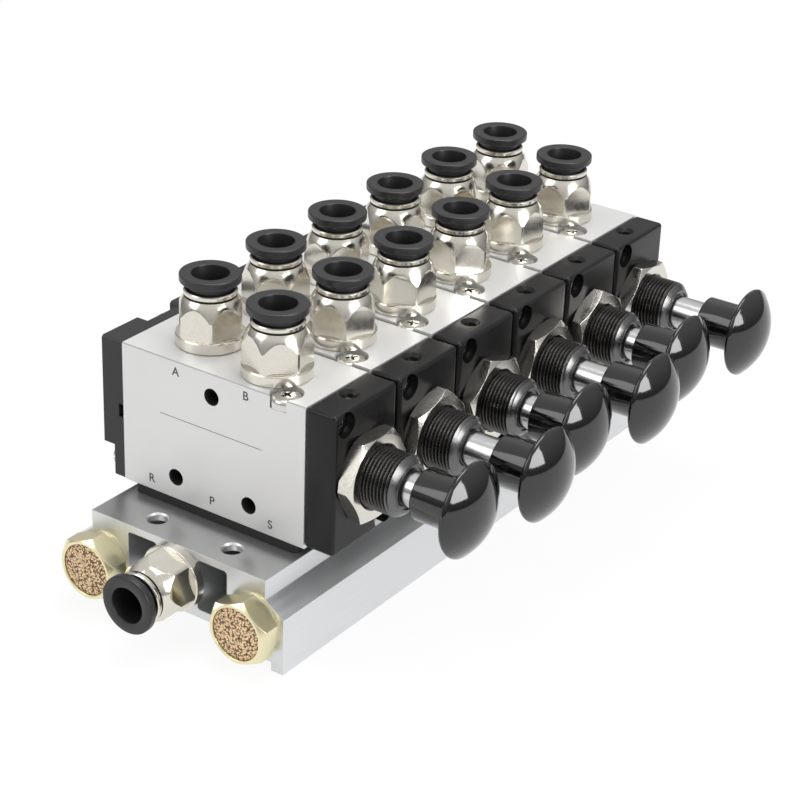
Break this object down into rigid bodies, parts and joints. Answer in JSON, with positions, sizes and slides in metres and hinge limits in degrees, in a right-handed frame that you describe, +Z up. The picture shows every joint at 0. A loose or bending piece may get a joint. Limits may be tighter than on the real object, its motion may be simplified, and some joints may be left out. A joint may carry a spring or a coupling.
{
  "type": "valve manifold",
  "caption": "Row of hand pulled air valves on an extruded base, with push-in tube fittings on top, a supply fitting and two exhaust silencers at one end.",
  "frame": {"origin": "middle of the base's footprint, at the level of its feet", "axes": "+X along a valve towards its knob, +Y back along the row of valves away from the supply fitting, +Z up"},
  "size_m": [0.0999, 0.1775, 0.0746],
  "materials": {
    "base_aluminium": "satin extruded",
    "body_aluminium": "satin anodised",
    "black_block": "satin black",
    "black_cover": "satin black moulded",
    "nickel_brass": "bright nickel plated brass",
    "nickel_nut": "bright nickel plated brass",
    "ring_plastic": "matte black moulded",
    "polished_rod": "ground and polished",
    "knob_plastic": "gloss black moulded",
    "gasket_rubber": "matte black",
    "seal_rubber": "matte black",
    "bright_screw": "bright zinc plated",
    "dark_screw": "blackened",
    "spring_steel": "bright",
    "silencer_brass": "plain machined brass",
    "sintered_bronze": "porous sintered",
    "plug_steel": "zinc plated"
  },
  "bodies": {
    "manifold": {"manifold_base": "base_aluminium", "valve_body_1": "body_aluminium", "valve_body_2": "body_aluminium", "valve_body_3": "body_aluminium", "valve_body_4": "body_aluminium", "valve_body_5": "body_aluminium", "valve_body_6": "body_aluminium", "pull_block_1": "black_block", "pull_block_2": "black_block", "pull_block_3": "black_block", "pull_block_4": "black_block", "pull_block_5": "black_block", "pull_block_6": "black_block", "end_cover_1": "black_cover", "end_cover_2": "black_cover", "end_cover_3": "black_cover", "end_cover_4": "black_cover", "end_cover_5": "black_cover", "end_cover_6": "black_cover", "port_fittings": "nickel_brass", "inlet_fitting": "nickel_brass", "panel_nuts": "nickel_nut", "valve_gaskets": "gasket_rubber", "spool_seals": "seal_rubber", "tube_seals": "seal_rubber", "mount_screws": "bright_screw", "cover_screws": "bright_screw", "block_screws": "dark_screw", "detent_screws": "dark_screw", "detent_balls": "spring_steel", "detent_springs": "spring_steel", "grip_rings": "spring_steel", "silencer_bodies": "silencer_brass", "silencer_elements": "sintered_bronze", "end_plugs": "plug_steel"},
    "knob_1": {"pull_knob_1": "knob_plastic", "spool_1": "polished_rod"},
    "knob_2": {"pull_knob_2": "knob_plastic", "spool_2": "polished_rod"},
    "knob_3": {"pull_knob_3": "knob_plastic", "spool_3": "polished_rod"},
    "knob_4": {"pull_knob_4": "knob_plastic", "spool_4": "polished_rod"},
    "knob_5": {"pull_knob_5": "knob_plastic", "spool_5": "polished_rod"},
    "knob_6": {"pull_knob_6": "knob_plastic", "spool_6": "polished_rod"},
    "ring_a1": {"release_ring_a1": "ring_plastic"},
    "ring_a2": {"release_ring_a2": "ring_plastic"},
    "ring_a3": {"release_ring_a3": "ring_plastic"},
    "ring_a4": {"release_ring_a4": "ring_plastic"},
    "ring_a5": {"release_ring_a5": "ring_plastic"},
    "ring_a6": {"release_ring_a6": "ring_plastic"},
    "ring_b1": {"release_ring_b1": "ring_plastic"},
    "ring_b2": {"release_ring_b2": "ring_plastic"},
    "ring_b3": {"release_ring_b3": "ring_plastic"},
    "ring_b4": {"release_ring_b4": "ring_plastic"},
    "ring_b5": {"release_ring_b5": "ring_plastic"},
    "ring_b6": {"release_ring_b6": "ring_plastic"},
    "ring_inlet": {"release_ring_inlet": "ring_plastic"}
  },
  "joints": [
    {"name": "knob_1_slide", "type": "slide", "parent": "manifold", "child": "knob_1", "axis": [1, 0, 0], "range_m": [0, 0.0045]},
    {"name": "knob_2_slide", "type": "slide", "parent": "manifold", "child": "knob_2", "axis": [1, 0, 0], "range_m": [-0.0045, 0]},
    {"name": "knob_3_slide", "type": "slide", "parent": "manifold", "child": "knob_3", "axis": [1, 0, 0], "range_m": [0, 0.0045]},
    {"name": "knob_4_slide", "type": "slide", "parent": "manifold", "child": "knob_4", "axis": [1, 0, 0], "range_m": [-0.0045, 0]},
    {"name": "knob_5_slide", "type": "slide", "parent": "manifold", "child": "knob_5", "axis": [1, 0, 0], "range_m": [0, 0.0045]},
    {"name": "knob_6_slide", "type": "slide", "parent": "manifold", "child": "knob_6", "axis": [1, 0, 0], "range_m": [-0.0045, 0]},
    {"name": "ring_a1_press", "type": "slide", "parent": "manifold", "child": "ring_a1", "axis": [0, 0, -1], "range_m": [0, 0.001], "stiffness_N_per_m": 500, "springref_m": -0.0005},
    {"name": "ring_a2_press", "type": "slide", "parent": "manifold", "child": "ring_a2", "axis": [0, 0, -1], "range_m": [0, 0.001], "stiffness_N_per_m": 500, "springref_m": -0.0005},
    {"name": "ring_a3_press", "type": "slide", "parent": "manifold", "child": "ring_a3", "axis": [0, 0, -1], "range_m": [0, 0.001], "stiffness_N_per_m": 500, "springref_m": -0.0005},
    {"name": "ring_a4_press", "type": "slide", "parent": "manifold", "child": "ring_a4", "axis": [0, 0, -1], "range_m": [0, 0.001], "stiffness_N_per_m": 500, "springref_m": -0.0005},
    {"name": "ring_a5_press", "type": "slide", "parent": "manifold", "child": "ring_a5", "axis": [0, 0, -1], "range_m": [0, 0.001], "stiffness_N_per_m": 500, "springref_m": -0.0005},
    {"name": "ring_a6_press", "type": "slide", "parent": "manifold", "child": "ring_a6", "axis": [0, 0, -1], "range_m": [0, 0.001], "stiffness_N_per_m": 500, "springref_m": -0.0005},
    {"name": "ring_b1_press", "type": "slide", "parent": "manifold", "child": "ring_b1", "axis": [0, 0, -1], "range_m": [0, 0.001], "stiffness_N_per_m": 500, "springref_m": -0.0005},
    {"name": "ring_b2_press", "type": "slide", "parent": "manifold", "child": "ring_b2", "axis": [0, 0, -1], "range_m": [0, 0.001], "stiffness_N_per_m": 500, "springref_m": -0.0005},
    {"name": "ring_b3_press", "type": "slide", "parent": "manifold", "child": "ring_b3", "axis": [0, 0, -1], "range_m": [0, 0.001], "stiffness_N_per_m": 500, "springref_m": -0.0005},
    {"name": "ring_b4_press", "type": "slide", "parent": "manifold", "child": "ring_b4", "axis": [0, 0, -1], "range_m": [0, 0.001], "stiffness_N_per_m": 500, "springref_m": -0.0005},
    {"name": "ring_b5_press", "type": "slide", "parent": "manifold", "child": "ring_b5", "axis": [0, 0, -1], "range_m": [0, 0.001], "stiffness_N_per_m": 500, "springref_m": -0.0005},
    {"name": "ring_b6_press", "type": "slide", "parent": "manifold", "child": "ring_b6", "axis": [0, 0, -1], "range_m": [0, 0.001], "stiffness_N_per_m": 500, "springref_m": -0.0005},
    {"name": "ring_inlet_press", "type": "slide", "parent": "manifold", "child": "ring_inlet", "axis": [0, 1, 0], "range_m": [0, 0.001], "stiffness_N_per_m": 500, "springref_m": -0.0005}
  ]
}
